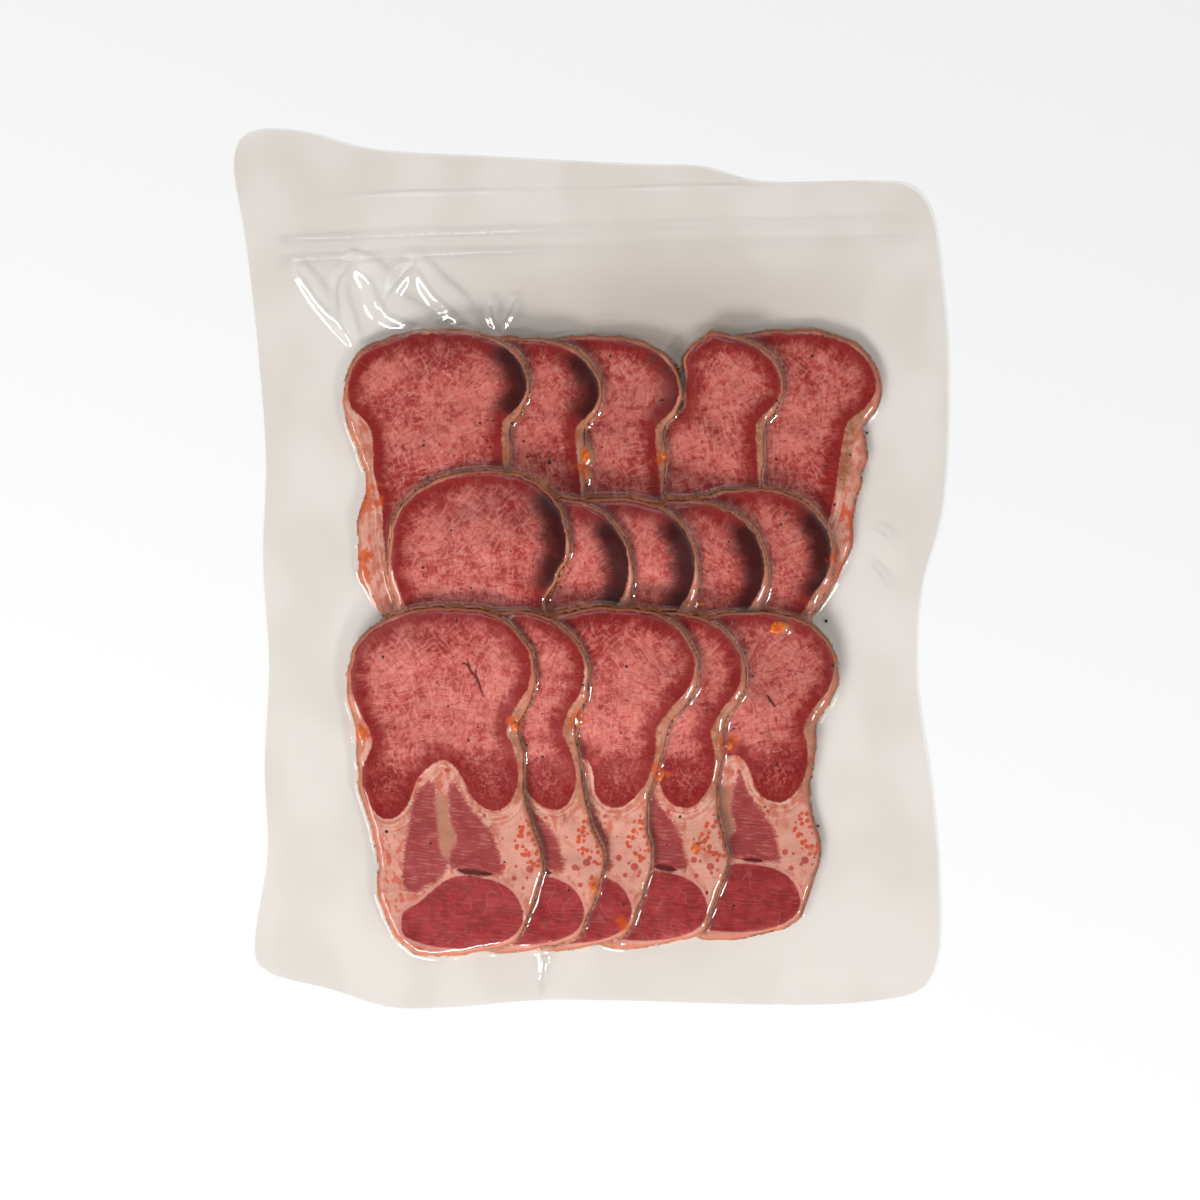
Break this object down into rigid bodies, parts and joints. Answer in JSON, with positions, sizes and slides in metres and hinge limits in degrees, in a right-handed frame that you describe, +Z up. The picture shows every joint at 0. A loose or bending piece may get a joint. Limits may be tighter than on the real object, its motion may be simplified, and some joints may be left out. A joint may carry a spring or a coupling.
{
  "type": "vacuum pack of sliced beef tongue",
  "caption": "Flat clear vacuum pouch holding three overlapping rows of sliced cooked beef tongue, sealed all round with a wide empty margin at its mouth.",
  "frame": {"origin": "middle of the flat underside", "axes": "+X across the pouch to its right side, +Y along its length towards the sealed mouth, +Z up out of the shown side"},
  "size_m": [0.2232, 0.2746, 0.0156],
  "materials": {
    "clear_film": "glossy clear film with a faint warm haze",
    "tongue_muscle": "moist pink to dark red cooked meat",
    "tongue_fat": "pale pink fat with orange red glands",
    "meat_juice": "wet orange brown juice and fat",
    "seasoning": "orange bits of vegetable and dark pepper specks"
  },
  "bodies": {
    "root": {"sealed_pouch": "clear_film"}
  },
  "joints": []
}
